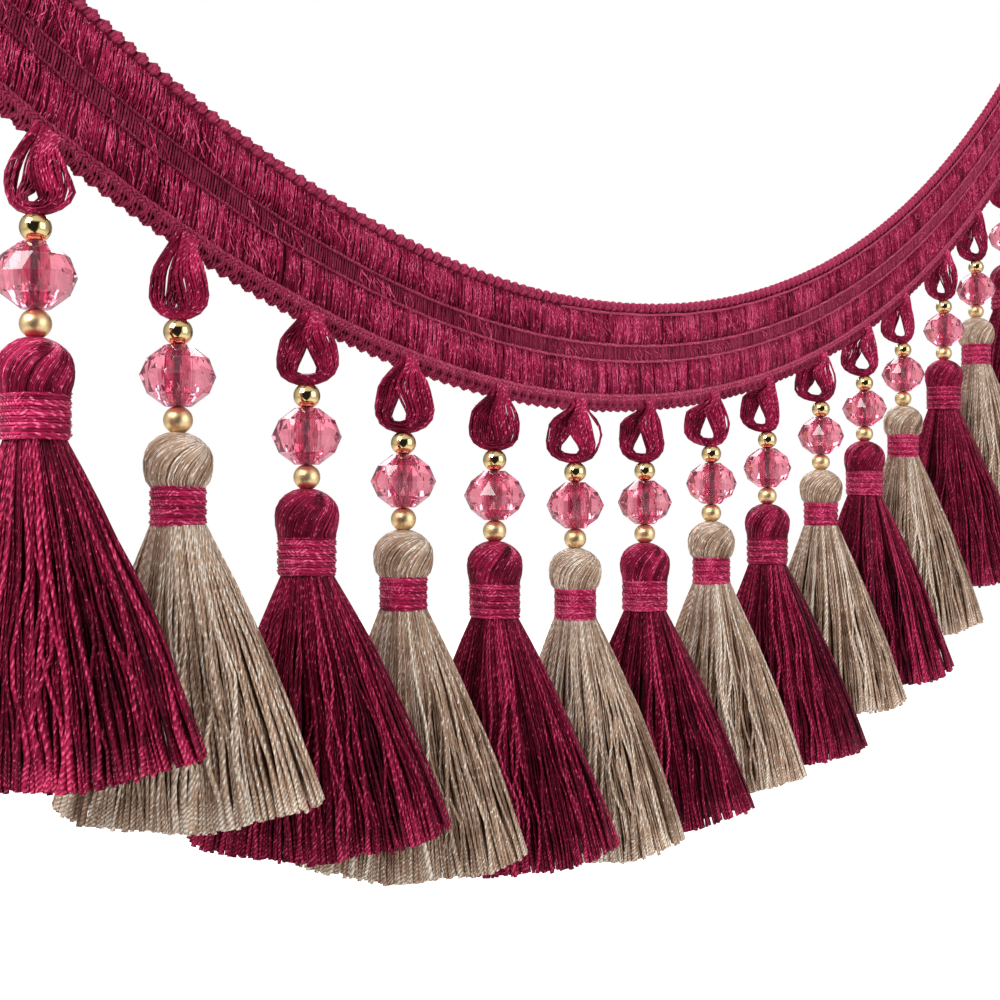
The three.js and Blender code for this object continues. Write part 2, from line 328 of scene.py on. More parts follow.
def spin(name, batches, material, sides=4, unevenness=0.25, wander=0.0, wanderScale=120.0, seed=1):
    # a batch is the points of its strands, station by station, their thickness and their shade
    stops, widths, shades, edges, base = [], [], [], [], 0
    for points, thick, shade in batches:
        size = points.shape[:2]
        ids = base + np.arange(size[0] * size[1]).reshape(size)
        base += ids.size
        stops.append(points.reshape(-1, 3))
        widths.append(np.broadcast_to(thick, size).ravel() * millimetre / 2)
        shades.append(np.broadcast_to(np.asarray(shade, float).reshape(size[0], -1), size).ravel())
        edges.append(np.stack([ids[:, :-1].ravel(), ids[:, 1:].ravel()], axis=1))
    values = {"thick": np.concatenate(widths), "shade": np.concatenate(shades)}
    paths = barePaths(name, np.concatenate(stops), np.concatenate(edges), values)
    return runTree(paths, spunYarn, {"Sides": sides, "Unevenness": unevenness, "Wander": wander * millimetre,
                                     "Wander Scale": wanderScale, "Seed": seed, "Yarn": material})


def knobTree():
    # sets small knobs along a path, turned with it, each a little different
    tree, given = newTree("knobRow", [
        ("Knob", "Object", None), ("Size", "Float", 1.0), ("Size Spread", "Float", 0.1),
        ("Tilt Spread", "Float", 0.3), ("Seed", "Int", 3), ("Yarn", "Material", None)])
    knob = addNode(tree, "GeometryNodeObjectInfo", {"Object": given["Knob"], "As Instance": True})
    low = mathNode(tree, "SUBTRACT", given["Size"], given["Size Spread"])
    high = mathNode(tree, "ADD", given["Size"], given["Size Spread"])
    size = addNode(tree, "FunctionNodeRandomValue", {2: low, 3: high, "Seed": given["Seed"]})
    less = mathNode(tree, "MULTIPLY", given["Tilt Spread"], -1.0)
    sway = addNode(tree, "FunctionNodeRandomValue", {2: less, 3: given["Tilt Spread"], "Seed": given["Seed"]})
    lean = mathNode(tree, "ADD", attributeNode(tree, "tilt"), sway.outputs[1])
    turn = addNode(tree, "ShaderNodeCombineXYZ", {"Y": lean})
    rows = addNode(tree, "GeometryNodeInstanceOnPoints", {
        "Points": given["Geometry"], "Instance": knob.outputs["Geometry"], "Rotation": turn,
        "Scale": size.outputs[1]})
    return finishTree(tree, given, rows)


# Materials
def colour(red, green, blue):
    # from the everyday 0 to 255 scale to linear light
    linear = [v / 255 / 12.92 if v <= 10 else ((v / 255 + 0.055) / 1.055) ** 2.4 for v in (red, green, blue)]
    return (*linear, 1.0)


def plainMaterial(name):
    material = bpy.data.materials.new(name)
    material.use_nodes = True
    return material, material.node_tree, material.node_tree.nodes["Principled BSDF"]


def noiseNode(tree, scale, detail):
    place = addNode(tree, "ShaderNodeTexCoord").outputs["Object"]
    return addNode(tree, "ShaderNodeTexNoise", {"Vector": place, "Scale": scale, "Detail": detail})


def rampNode(tree, value, first, last, middle=None):
    ramp = addNode(tree, "ShaderNodeValToRGB", {0: value})
    stops = ramp.color_ramp.elements
    stops[0].color, stops[1].color = first, last
    if middle:
        stops.new(0.5).color = middle
    return ramp


def bumpNode(tree, height, strength, distance):
    return addNode(tree, "ShaderNodeBump", {"Height": height, "Strength": strength, "Distance": distance})


ply = {"strandTurn": 37.0, "patchScale": 260.0, "grooveTo": 0.6, "glintSpan": 0.18, "toneInGlint": 0.3,
       "fibreInRelief": 0.35, "reliefDepth": 0.00016}
yarnLooks = {
    "raspberryYarn": {
        "dark": (44, 4, 16), "middle": (112, 15, 44), "light": (170, 32, 74), "paintedGlint": (222, 80, 122),
        "gloss": (255, 120, 160), "glintFrom": 0.64, "fibre": 1500, "patches": 0.7, "paintedGrooveShade": 0.5,
        "turnsPerMetre": 640, "relief": 0.8, "roughness": 0.36, "glossLevel": 0.42},
    "taupeYarn": {
        "dark": (108, 74, 54), "middle": (198, 165, 140), "light": (240, 216, 192), "paintedGlint": (255, 248, 238),
        "gloss": (255, 240, 225), "glintFrom": 0.62, "fibre": 1300, "patches": 0.7, "paintedGrooveShade": 0.55,
        "turnsPerMetre": 640, "relief": 0.8, "roughness": 0.38, "glossLevel": 0.4},
    "braidYarn": {
        "dark": (92, 10, 35), "middle": (174, 32, 78), "light": (222, 62, 114), "paintedGlint": (246, 116, 160),
        "gloss": (255, 120, 160), "glintFrom": 0.6, "fibre": 1500, "patches": 1.0, "paintedGrooveShade": 0.6,
        "turnsPerMetre": 560, "relief": 0.6, "roughness": 0.4, "glossLevel": 0.34},
    "chainCotton": {
        "dark": (130, 34, 64), "middle": (170, 56, 90), "light": (196, 76, 110), "paintedGlint": (214, 108, 138),
        "gloss": (255, 170, 190), "glintFrom": 0.72, "fibre": 2200, "patches": 0.5, "paintedGrooveShade": 0.7,
        "turnsPerMetre": 620, "relief": 0.9, "roughness": 0.8, "glossLevel": 0.15}}


def yarnMaterial(name):
    # two plies twist round each other; painted shade darkens their grooves and painted glints brighten their
    # crests, and each strand has its own shade value, which also carries painted light and shade set where
    # the strands are made
    look = yarnLooks[name]
    material, tree, shader = plainMaterial(name)
    around = addNode(tree, "ShaderNodeAttribute", attribute_name="around").outputs["Vector"]
    along, shade = (addNode(tree, "ShaderNodeAttribute", attribute_name=label).outputs["Fac"]
                    for label in ("along", "shade"))
    start = mathNode(tree, "MULTIPLY", shade, ply["strandTurn"])
    angle = mathNode(tree, "MULTIPLY_ADD", along, look["turnsPerMetre"] * math.pi, start)
    spoke = addNode(tree, "ShaderNodeCombineXYZ", {
        "X": mathNode(tree, "COSINE", angle), "Y": mathNode(tree, "SINE", angle)})
    ridge = mathNode(tree, "ABSOLUTE", dotNode(tree, vectorNode(tree, "NORMALIZE", around), spoke))
    patch, fibre = noiseNode(tree, ply["patchScale"], 2.0), noiseNode(tree, look["fibre"], 1.0)
    mixed = mathNode(tree, "MULTIPLY_ADD", patch, look["patches"], -look["patches"] / 2)
    tone = mathNode(tree, "ADD", shade, mixed)
    dye = rampNode(tree, tone, colour(*look["dark"]), colour(*look["light"]), colour(*look["middle"]))
    # painted shade in the grooves between the plies; a form with no around value gets it all over and is at
    # its darkest
    dyed = vectorNode(tree, "SCALE", dye, rangeNode(tree, ridge, look["paintedGrooveShade"], 1.0, 0.0, ply["grooveTo"]))
    crest = mathNode(tree, "MULTIPLY", ridge, fibre)
    spark = mathNode(tree, "MULTIPLY_ADD", tone, ply["toneInGlint"], crest)
    # painted glints: a pale glint colour mixed in where the crest and the tone are high
    paintedGlint = rangeNode(tree, spark, 0.0, 1.0, look["glintFrom"], look["glintFrom"] + ply["glintSpan"])
    lit = addNode(tree, "ShaderNodeMixRGB", {"Fac": paintedGlint, "Color1": dyed, "Color2": colour(*look["paintedGlint"])})
    rise = mathNode(tree, "MULTIPLY_ADD", fibre, ply["fibreInRelief"], ridge)
    setInputs(tree, shader, {
        "Base Color": lit, "Normal": bumpNode(tree, rise, look["relief"], ply["reliefDepth"]),
        "Roughness": look["roughness"], "Specular Tint": colour(*look["gloss"]),
        "Specular IOR Level": look["glossLevel"]})
    return material


def clothMaterial():
    material, tree, shader = plainMaterial("braidGround")
    weave = noiseNode(tree, 1400.0, 2.0)
    setInputs(tree, shader, {
        "Base Color": rampNode(tree, weave, colour(62, 7, 25), colour(112, 17, 48)),
        "Normal": bumpNode(tree, weave, 0.6, 0.0002), "Roughness": 0.85, "Specular IOR Level": 0.1})
    return material


def metalMaterial(name, shine, rough, scratch):
    material, tree, shader = plainMaterial(name)
    blotch = noiseNode(tree, 700.0, 3.0)
    dull = tuple(v * 0.8 for v in shine[:3]) + (1.0,)
    setInputs(tree, shader, {
        "Base Color": rampNode(tree, blotch, dull, shine),
        "Roughness": rangeNode(tree, blotch, rough * 0.8, rough * 1.25),
        "Normal": bumpNode(tree, noiseNode(tree, 5200.0, 2.0), scratch, 0.00003), "Metallic": 1.0})
    return material


def glassMaterial(name, pale, deep, rough):
    material, tree, shader = plainMaterial(name)
    # a faint pink emission is painted light: the glass glows a little though it is no lamp
    setInputs(tree, shader, {
        "Base Color": rampNode(tree, noiseNode(tree, 500.0, 1.0), deep, pale), "Roughness": rough, "IOR": 1.5,
        "Transmission Weight": 1.0, "Emission Color": colour(190, 96, 132), "Emission Strength": 0.05})
    return material


raspberryYarn, taupeYarn, braidYarn, chainCotton = (yarnMaterial(name) for name in yarnLooks)
braidGround = clothMaterial()
polishedGold = metalMaterial("polishedGold", colour(236, 208, 150), 0.09, 0.05)
satinGold = metalMaterial("satinGold", colour(248, 216, 164), 0.38, 0.25)
pinkGlass = glassMaterial("pinkGlass", colour(233, 142, 158), colour(221, 118, 138), 0.04)
boreLining = glassMaterial("boreLining", colour(228, 140, 168), colour(140, 44, 84), 0.1)
boreGlass = glassMaterial("boreGlass", colour(252, 244, 248), colour(248, 236, 242), 0.04)

# Camera: level, at the photograph's place beside the left end
camera = {"place": (-0.2440, -0.2012, -0.0457), "azimuth": math.radians(-47.36), "lens": 50.4, "sensor": 36.0}
cameraData = bpy.data.cameras.new("camera")
cameraData.lens = camera["lens"]
cameraData.sensor_width = camera["sensor"]
cameraData.clip_start = 0.005
scene.camera = newPiece("camera", cameraData)
scene.camera.location = camera["place"]
scene.camera.rotation_euler = (math.radians(90), 0, camera["azimuth"])
lookWay = Vector((-math.sin(camera["azimuth"]), math.cos(camera["azimuth"]), 0))
lookRight = Vector((lookWay.y, -lookWay.x, 0))
print("camera done")

# Braid: a ribbed ground cloth, floats of shiny yarn across it, ribs and chains over them
section = {"down": [0.0, 0.9, 2.0, 4.0, 8.3, 10.0, 11.9, 13.7, 15.8, 20.4, 22.4, 24.2, 25.5],
           "half": [0.5, 0.95, 0.75, 1.2, 1.2, 0.75, 1.0, 0.75, 1.2, 1.2, 0.8, 0.95, 0.5]}
ground = {"steps": 240, "inset": 0.5, "thinnest": 0.22, "top": 0.6, "rows": (1.2, 24.4, 13), "foot": 24.9}
# the weave is messy up to calmFrom and calm from calmAt on; the lists go from a float's top to its foot
floats = {"spacing": 0.32, "thick": 0.46, "backSpacing": 0.5, "backThick": 0.68, "lean": 0.5, "bunch": 3.3,
          "bands": [(2.7, 10.0), (13.9, 22.2)], "slit": 0.13, "calmFrom": -20.0, "calmAt": 110.0,
          "calming": 0.7, "ends": 0.16, "wave": 0.06, "messyWave": 0.13, "swell": 0.16, "deep": 0.07,
          "sunk": 0.25, "tone": 0.42, "patch": 0.1, "bunchTone": 0.06, "yarnTone": 0.14, "spotTone": 0.1,
          "stations": [0.0, 0.25, 0.5, 0.75, 1.0], "pull": [0.3, 1.0, 1.1, 0.9, 0.2],
          "paler": [0.02, 0.16, 0.06, -0.06, -0.1], "thickness": [0.8, 1, 1, 1, 0.8]}
wisps = {"middle": (9.0, 15.0), "perPitch": 22, "along": (0.6, 3.6), "down": (2.0, 4.5), "thick": 0.34,
         "proud": 0.16, "wave": 0.35, "shade": (0.55, 0.95)}
ribs = {"spacing": 0.56, "thick": 0.62, "band": (9.9, 14.0), "tone": 0.2, "calmTone": 0.5}
# the chains get thicker and paler from fullFrom to fullAt; one of them is seen only where the weave is calm
chains = {"turn": 1.75, "stationsPerTurn": 4, "paler": 0.62, "thicker": 0.75, "proud": 0.1, "depth": 0.16,
          "calmShare": 0.1, "fullFrom": -110, "fullAt": 10, "lines": [
    {"down": 2.75, "reach": 0.14, "thick": 0.36, "growth": 1, "knobbly": 0.4, "shade": 0.3, "cords": [0.0]},
    {"down": 10.1, "reach": 0.16, "thick": 0.36, "growth": 1, "knobbly": 0.6, "shade": 0.34, "cords": [0.0]},
    {"down": 13.8, "reach": 0.16, "thick": 0.36, "growth": 1, "knobbly": 0.6, "shade": 0.34, "cords": [0.0]},
    {"down": 22.3, "reach": 0.32, "thick": 0.66, "growth": 0.2, "knobbly": 0.15, "shade": 0.48,
     "cords": [-0.36, 0.36]}]}


def halfThickness(down):
    return np.interp(down, section["down"], section["half"])


def groundCloth():
    downs = np.concatenate([[ground["top"]], np.linspace(*ground["rows"]), [ground["foot"]]])
    halves = np.maximum(halfThickness(downs) - ground["inset"], ground["thinnest"])
    downs, halves = np.append(downs, downs[::-1]), np.append(-halves, halves[::-1])
    points = [bandPoint(x, downs, halves) for x in np.linspace(startX, endX, ground["steps"] + 1)]
    around, last = len(downs), ground["steps"] * len(downs)
    faces = tubeFaces(ground["steps"], around)
    for side in range(around // 2 - 1):  # the two cut ends
        faces.append((side + 1, side, around - 1 - side, around - 2 - side))
        faces.append((last + side, last + side + 1, last + around - 2 - side, last + around - 1 - side))
    return meshPiece("braid_cloth", np.concatenate(points), faces, braidGround)


def bunched(x, rng):
    # the bunch that each float belongs to: its middle, how tightly it is drawn in and its tone
    widths = floats["bunch"] * rng.uniform(0.45, 1.6, int((endX - startX) / floats["bunch"] * 1.6))
    ends = startX - 2 + np.concatenate([[0], np.cumsum(widths)])
    which = np.clip(np.searchsorted(ends, x) - 1, 0, len(widths) - 1)
    drawn = floats["slit"] * rng.uniform(0.0, 1.3, len(widths)) ** 1.5
    return (ends[which] + ends[which + 1]) / 2, drawn[which], rng.normal(0, 1, len(widths))[which]


def calm(x):
    # how orderly and pale the weave is, 0 at the left end to 1 on the right
    return np.interp(x, [floats["calmFrom"], floats["calmAt"]], [0.0, 1.0])


def messy(x):
    return 1 - floats["calming"] * calm(x)


def floatBatches(side, seed):
    # yarns laid across the two wide bands on one face of the braid, and loose ones over all
    rng = np.random.default_rng(seed)
    batches = []
    spacing = floats["spacing" if side < 0 else "backSpacing"]
    width = floats["thick" if side < 0 else "backThick"]
    share = np.array(floats["stations"])[None, :]
    for top, foot in floats["bands"]:
        x = alongBraid(spacing)
        size = (len(x), share.size)
        down = top + (foot - top) * share
        down = down + rng.normal(0, floats["ends"], (len(x), 1)) * (abs(2 * share - 1) == 1)
        middle, drawn, bunchTone = bunched(x, rng)
        pull = ((middle - x) * drawn)[:, None] * np.array(floats["pull"])
        wave = rng.normal(0, floats["wave"], size)
        wave = wave + messy(x)[:, None] * rng.normal(0, floats["messyWave"], size)
        drift = -floats["lean"] * slopeShare(x)[:, None] * (down - top)
        arch = np.sin(np.pi * share)
        beat = 2 * np.pi * x / row["pitch"]
        swell = floats["swell"] * np.sin(beat + top)[:, None] * arch
        depth = halfThickness(down) - width / 2 + swell + rng.normal(0, floats["deep"], size)
        depth = depth - floats["sunk"] * (np.abs(middle - x) * drawn)[:, None] * arch
        # painted light: brighter patches once in each pitch, where the floats bulge towards the light
        patch = floats["patch"] * np.sin(beat + 1.3 * top) + 0.06 * np.sin(2 * np.pi * x / 7.3 + top)
        tone = floats["tone"] + patch + floats["bunchTone"] * bunchTone
        tone = (tone + rng.normal(0, floats["yarnTone"], len(x)))[:, None]
        tone = tone + rng.normal(0, floats["spotTone"], size)
        # painted light and shade along each float: paler near its top, darker at its foot, more so where the
        # weave is messy
        shade = np.clip(tone + np.array(floats["paler"]) * (0.4 + messy(x)[:, None]), 0, 1)
        thick = width * rng.uniform(0.8, 1.15, (len(x), 1)) * np.array(floats["thickness"])
        batches.append((bandPoint(x[:, None] + drift + pull + wave, down, side * depth), thick, shade))
        batches.append(wispBatch(rng, side, top, foot))
    batches.append(wispBatch(rng, side, *wisps["middle"]))
    return batches


def wispBatch(rng, side, top, foot):
    # loose bright yarns that stray slantwise over a band; they gather once in each pitch
    count = int(wisps["perPitch"] * row["pendants"])
    x = rng.uniform(startX + 4, endX - 8, count)
    near = 0.5 + 0.5 * np.cos(2 * np.pi * (x / row["pitch"] + 0.16 * np.sign(top - 8)))
    x = x[rng.random(count) < messy(x) ** 1.5 * near ** 1.5]
    count = len(x)
    share = np.linspace(0, 1, 6)[None, :]
    first = top + rng.uniform(0.2, 0.45, (count, 1)) * (foot - top)
    down = np.minimum(first + rng.uniform(*wisps["down"], (count, 1)) * share, foot - 0.2)
    run = rng.uniform(*wisps["along"], (count, 1)) * share
    run = run + wisps["wave"] * np.sin(2.2 * np.pi * share + rng.uniform(0, 6, (count, 1)))
    depth = halfThickness(down) + wisps["proud"] * np.sin(np.pi * share) - 0.12
    shade = rng.uniform(*wisps["shade"], count)
    return bandPoint(x[:, None] + run, down, side * depth), wisps["thick"], shade


def ribBatch(side):
    rng = np.random.default_rng(31 + side)
    x = alongBraid(ribs["spacing"])
    top, foot = ribs["band"]
    down = top + (foot - top) * np.linspace(0, 1, 4)[None, :] + np.zeros((len(x), 1))
    depth = halfThickness(down) - ribs["thick"] / 2 + rng.normal(0, 0.04, down.shape)
    drift = -floats["lean"] * slopeShare(x)[:, None] * (down - top) + rng.normal(0, 0.05, down.shape)
    shade = ribs["tone"] + ribs["calmTone"] * calm(x)[:, None] + rng.normal(0, 0.1, (len(x), 1))
    shade = np.clip(shade + rng.normal(0, 0.12, down.shape), 0, 1)
    thick = ribs["thick"] * rng.uniform(0.85, 1.15, down.shape)
    return bandPoint(x[:, None] + drift, down, side * depth), thick, shade


def chainBatches(side):
    # chains of one or two cords, each of two strands twisted together; the first line is on the front alone
    length = alongBraid(chains["turn"] / chains["stationsPerTurn"])
    turn = np.arange(len(length)) * 2 * np.pi / chains["stationsPerTurn"]
    full = np.interp(length, [chains["fullFrom"], chains["fullAt"]], [0.0, 1.0])
    batches = []
    for number, line in enumerate(chains["lines"]):
        if number == 0 and side > 0:
            continue
        kept = calm(length) > (chains["calmShare"] if number == 0 else -1)
        more = line["growth"] * full
        for cord, offset in enumerate(line["cords"]):
            hand = 1 if cord == 0 else -1
            for strand in (0, np.pi):
                down = line["down"] + offset + line["reach"] * np.sin(hand * turn + strand)
                depth = halfThickness(line["down"]) + chains["proud"] * (1 + more)
                depth = depth + chains["depth"] * np.cos(turn + strand)
                thick = line["thick"] * (1 + line["knobbly"] * np.cos(2 * turn))
                thick = thick * (1 + chains["thicker"] * more)
                shade = np.clip(line["shade"] + 0.01 * strand + chains["paler"] * full, 0, 1)
                points = bandPoint(length, down, side * depth)
                batches.append((points[kept][None], thick[kept][None], shade[kept][None]))
    return batches


print("braid: cloth, floats and chains")
braidCloth = groundCloth()
braidPieces = []
for label, side in (("front", -1), ("back", 1)):
    braidPieces.append(spin(f"braid_floats_{label}", floatBatches(side, 11 + side), braidYarn,
                            sides=3, unevenness=0.3, seed=5))
    braidPieces.append(spin(f"braid_chains_{label}", [ribBatch(side), *chainBatches(side)], chainCotton,
                            sides=3, unevenness=0.3, seed=6))

# Top selvage: a row of wound knobs. Bottom selvage: wraps over the edge, parted by small holes
knobs = {"spacing": 2.6, "down": 1.2, "radius": 1.5, "flat": 0.94, "yarn": 0.92, "across": [-0.8, 0.0, 0.8],
         "middle": 1.25, "lean": 0.4, "ends": 0.9, "sizeSpread": 0.07, "tiltSpread": 0.3}
# the lists go from the front's top over the foot to the back's top
wraps = {"spacing": 0.52, "scallop": 2.6, "thick": 0.98, "dip": 0.85, "hole": 0.36, "lean": 0.4,
         "down": [22.7, 23.3, 23.95, 24.6, 25.1, 25.3, 25.1, 24.6, 23.95, 23.3, 22.7],
         "half": [-0.9, -0.98, -0.98, -0.8, -0.45, 0, 0.45, 0.8, 0.98, 0.98, 0.9],
         "edge": [0, 0, 0, 0.5, 1, 1, 1, 0.5, 0, 0, 0], "opening": [0, 0.1, 1, 0.1, 0, 0, 0, 0.1, 1, 0.1, 0],
         "thickness": [0.9, 1, 0.66, 0.9, 1, 1, 1, 0.9, 0.66, 1, 0.9]}


def woundKnob():
    # a small ball of three turns of cotton
    batches = []
    angle = np.linspace(0, 2 * np.pi, 9)
    for turn, across in enumerate(knobs["across"]):
        yarn = knobs["yarn"] * (1 if across else knobs["middle"])
        radius = math.sqrt(knobs["radius"] ** 2 - across ** 2) * (knobs["ends"] if across else 1) - yarn / 2
        up, deep = radius * np.cos(angle), knobs["flat"] * radius * np.sin(angle)
        points = np.stack([across + knobs["lean"] * radius * np.cos(angle), deep, up], axis=-1)
        batches.append((points[None], yarn, [0.4 + 0.05 * turn]))
    return spin("knobForm", batches, chainCotton, sides=5, unevenness=0.0)


def knobSelvage():
    x = alongBraid(knobs["spacing"])
    knobForm = woundKnob()
    tilt = -np.arctan(edgeSlope(x))
    path = barePaths("braid_top_selvage", bandPoint(x, knobs["down"], 0.0), [], {"tilt": tilt})
    runTree(path, knobTree(), {"Knob": knobForm, "Size": 1.0, "Size Spread": knobs["sizeSpread"],
                               "Tilt Spread": knobs["tiltSpread"], "Seed": 4, "Yarn": chainCotton})
    bpy.data.objects.remove(knobForm)
    return path


def wrapBatch():
    rng = np.random.default_rng(21)
    x = alongBraid(wraps["spacing"])
    phase = (2 * np.pi * np.arange(len(x)) * wraps["spacing"] / wraps["scallop"])[:, None]
    opening = np.array(wraps["opening"])  # leaves a hole above each scallop
    down = np.array(wraps["down"]) - wraps["dip"] * (0.5 - 0.5 * np.cos(phase)) * np.array(wraps["edge"])
    depth = np.array(wraps["half"]) + rng.normal(0, 0.04, (len(x), 1))
    drift = wraps["hole"] * np.sin(phase) * opening - wraps["lean"] * slopeShare(x)[:, None] * (down - 22.8)
    # painted shade: the wraps are darker round each hole
    shade = 0.38 - 0.06 * np.cos(phase) + rng.normal(0, 0.07, (len(x), 1))
    shade = shade - 0.2 * opening * (0.5 + 0.5 * np.cos(phase))
    thick = wraps["thick"] * rng.uniform(0.85, 1.1, (len(x), 1)) * np.array(wraps["thickness"])
    return bandPoint(x[:, None] + drift, down, depth), thick, np.clip(shade, 0, 1)


topSelvage = knobSelvage()
bottomSelvage = spin("braid_bottom_selvage", [wrapBatch()], chainCotton, sides=3, unevenness=0.2, seed=8)
print("braid done")

# Loops of yarn that the pendants hang from
loopYarn = {"count": 24, "thick": 0.56, "lower": 0.95, "stations": 23, "layer": 0.5, "bottomDepth": 1.1}
# wide: half the loop's width; lean: how far right of the bead it hangs; half, apex and shift: half the hole's
# width, how far down its top is, as a share, and how far right it is; bow: how far the outermost yarn at the
# right strays, at the share bowAt of the drop; slit: a gap in the left limb, or in the right one below 0
loopColumns = ("wide", "lean", "half", "apex", "shift", "bow", "bowAt", "slit")
loopRows = [
    (4.9, 0.3, 1.0, 0.62, -0.6, 1.2, 0.66, 0.9), (5.0, 0.2, 0.12, 0.78, 0.3, 0.0, 0.5, 0.35),
    (5.7, 0.1, 2.0, 0.34, 0.0, 0.0, 0.5, 0.0), (5.5, 0.0, 1.5, 0.42, -0.9, 0.4, 0.6, 0.0),
    (5.2, 0.0, 0.16, 0.8, -0.3, 0.0, 0.5, 0.0), (5.5, -0.8, 2.1, 0.45, -0.4, 1.9, 0.36, 0.0),
    (5.1, -0.8, 1.75, 0.42, -0.3, 0.2, 0.6, 0.0), (5.4, -1.3, 1.75, 0.36, 0.1, 0.5, 0.4, 0.0),
    (4.9, -1.9, 1.45, 0.42, -0.2, 0.0, 0.5, 0.0), (5.4, -1.7, 1.9, 0.48, -0.1, 0.9, 0.36, 0.0),
    (5.3, -1.4, 2.1, 0.46, 0.6, 0.0, 0.5, 0.0), (4.9, -1.6, 1.6, 0.36, 0.6, 0.0, 0.5, 0.0),
    (4.9, -1.0, 1.3, 0.5, -0.1, 0.0, 0.5, -0.7), (5.0, -1.4, 1.6, 0.48, 0.7, 0.0, 0.5, 0.0),
    (5.0, -1.2, 1.5, 0.45, 0.2, 0.4, 0.5, 0.0)]


def smoothLine(points, count):
    # a rounded line through a few points, evenly spaced along it
    points = np.asarray(points, float)
    padded = np.concatenate([[2 * points[0] - points[1]], points, [2 * points[-1] - points[-2]]])
    t = np.linspace(0, len(points) - 1, 12 * len(points))
    k = np.minimum(t.astype(int), len(points) - 2)
    f = (t - k)[:, None]
    a, b, c, d = padded[k], padded[k + 1], padded[k + 2], padded[k + 3]
    square, cube = 2 * a - 5 * b + 4 * c - d, 3 * b - a - 3 * c + d
    line = 0.5 * (2 * b + (c - a) * f + square * f ** 2 + cube * f ** 3)
    run = np.concatenate([[0], np.cumsum(np.linalg.norm(np.diff(line, axis=0), axis=1))])
    at = np.linspace(0, run[-1], count)
    return np.stack([np.interp(at, run, line[:, axis]) for axis in range(3)], axis=-1)


def limbPoints(limb, share, form):
    # one half of a yarn's way, from its root to the bottom: across in millimetres and down as a share of
    # the drop; the share given is 0 for the yarn at the hole and 1 for the outermost
    wide, half, apex, shift = (form[key] for key in ("wide", "half", "apex", "shift"))
    rootInside = -1.5 if limb > 0 else 0.7
    inside = [(rootInside, 0.0), (0.5 * rootInside + 0.6 * shift, 0.5 * apex), (limb * 0.1 + shift, apex),
              (limb * half + shift, max(0.69, apex + 0.06)), (limb * half * 0.8 + shift, 0.8)]
    outside = [(limb * 0.62 * wide, 0.0), (limb * 0.84 * wide, 0.19), (limb * 0.97 * wide, 0.42),
               (limb * wide, 0.68), (limb * 0.72 * wide, 0.88)]
    points = np.array(inside) * (1 - share) + np.array(outside) * share
    points[:, 0] += form["lean"] * np.array([1.0, 1.0, 1.0, 1.0, 0.7])
    if limb > 0 and share > 0.9:
        points[:, 0] += np.exp(-((points[:, 1] - form["bowAt"]) / 0.27) ** 2) * form["bow"] * 0.85
    gap = form["slit"] * (1 if limb < 0 else -1)
    if gap > 0:
        points[1:4, 0] += limb * gap * np.array([0.5, 0.6, 0.2]) * (1 if share > 0.55 else -0.6)
    return points


def loopBatch(number, form, place):
    rng = np.random.default_rng(300 + number)
    drop = place["edge"] - place["loop"] + loopYarn["lower"]
    halfway = np.linspace(-1, 1, loopYarn["stations"])
    strands, shades = [], []
    for yarn in range(loopYarn["count"]):
        share = (yarn + 0.5) / loopYarn["count"]
        layer = (0.5 if yarn % 2 else -0.5) + rng.normal(0, 0.1)
        points = []
        for limb in (-1, 1):
            way = limbPoints(limb, share, form)
            way[1:, 0] += rng.normal(0, 0.13, len(way) - 1)
            ahead = np.array([0.0, -0.75, -0.7, -0.3, 0.0]) * limb  # the right limb lies in front
            above = aboveEdge(place["x"] + way[0, 0] * math.cos(facing))
            half = [bandPoint(above, 22.9, -1.0 + 0.3 * layer - 0.25 * limb),
                    bandPoint(above, 24.9, -1.35 + 0.35 * layer - 0.35 * limb)]
            for (across, down), front in list(zip(way, ahead))[1:]:
                stop = np.array([across, layer * loopYarn["layer"] + front, -down * drop])
                half.append(turned(stop, place["x"], place["edge"]))
            points += half if limb < 0 else half[::-1]
            if limb < 0:
                under = np.array([(form["shift"] + form["lean"]) * 0.5 * (1 - share),
                                  layer * loopYarn["bottomDepth"] + rng.normal(0, 0.2),
                                  loopYarn["thick"] / 2 - (0.845 + 0.155 * share) * drop])
                points.append(turned(under, place["x"], place["edge"]))
        strands.append(smoothLine(points, loopYarn["stations"]))
        # painted shade on the inner yarns by the hole; painted light and shade along each yarn, darker
        # towards the bottom and on the left limb
        tone = 0.04 + 0.12 * share + rng.normal(0, 0.1)
        shades.append(tone + 0.16 * halfway + 0.3 * halfway ** 2)
    thick = loopYarn["thick"] * rng.uniform(0.85, 1.1, (loopYarn["count"], 1))
    return np.array(strands), thick, np.clip(np.array(shades), 0, 1)


loopBatches = [loopBatch(number, dict(zip(loopColumns, numbers)), place)
               for number, (numbers, place) in enumerate(zip(loopRows, places), 1)]
loops = spin("yarn_loops", loopBatches, braidYarn, unevenness=0.3, wander=0.3, wanderScale=180.0, seed=9)
print("loops done")

# Beads: two gold ones and a faceted crystal on a thread
bead = {"radius": 2.5, "squash": 0.96, "bore": 0.7, "lip": 0.25, "around": 24, "rings": 11}
crystal = {"radius": 6.5, "half": 5.2, "table": 2.3, "shoulder": 5.2, "shoulderHeight": 3.0, "bore": 1.35,
           "belly": 2.35, "bellyHeight": 2.4, "facets": 12, "spin": 0.4}
lining = {"gap": 0.06, "inner": 0.95, "sides": 14}
thread = {"thick": 0.7, "twist": 0.36, "stations": 26, "turn": 1.3}


def boredBall():
    # a ball with a bore, rounded where they meet
    start = math.asin(bead["bore"] / bead["radius"]) + 0.06
    outline = [(bead["radius"] * math.sin(a), bead["radius"] * bead["squash"] * math.cos(a))
               for a in np.linspace(start, math.pi - start, bead["rings"])]
    lip = outline[0][1] - bead["lip"]
    return lathed(outline + [(bead["bore"], -lip), (bead["bore"], 0.0), (bead["bore"], lip)], bead["around"])


